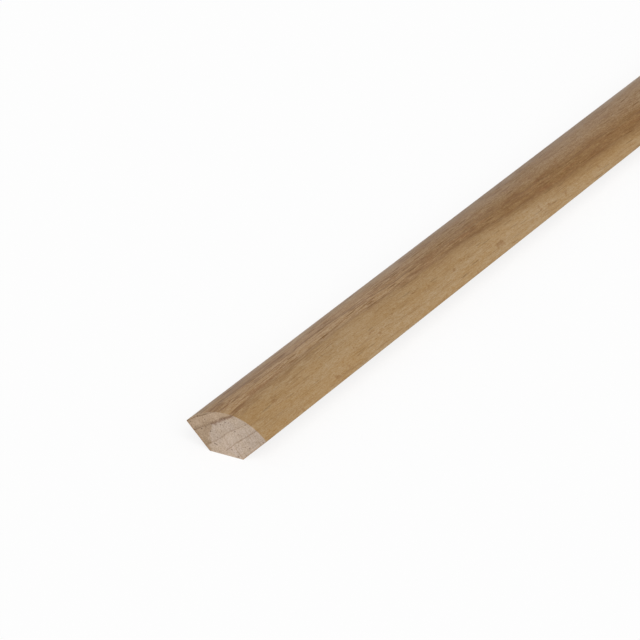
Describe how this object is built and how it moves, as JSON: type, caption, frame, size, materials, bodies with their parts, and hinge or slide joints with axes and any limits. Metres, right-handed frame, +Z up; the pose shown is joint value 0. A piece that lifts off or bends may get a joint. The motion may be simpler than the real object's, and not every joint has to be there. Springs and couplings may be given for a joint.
{
  "type": "quarter round moulding",
  "caption": "Straight wooden trim strip with a quarter-circle section and a planed-off back corner, which covers the joint between a floor and a wall or cabinet.",
  "frame": {"origin": "centre of the planed-off corner's face at mid-length, on the floor that the stick lies on", "axes": "+X along the stick, +Z up out of the round face, and +Y across the stick towards the wall flat; the stick lies on its planed-off corner"},
  "size_m": [1.9812, 0.0266, 0.0134],
  "materials": {
    "hardwood": "satin"
  },
  "bodies": {
    "root": {"quarter_round": "hardwood"}
  },
  "joints": []
}
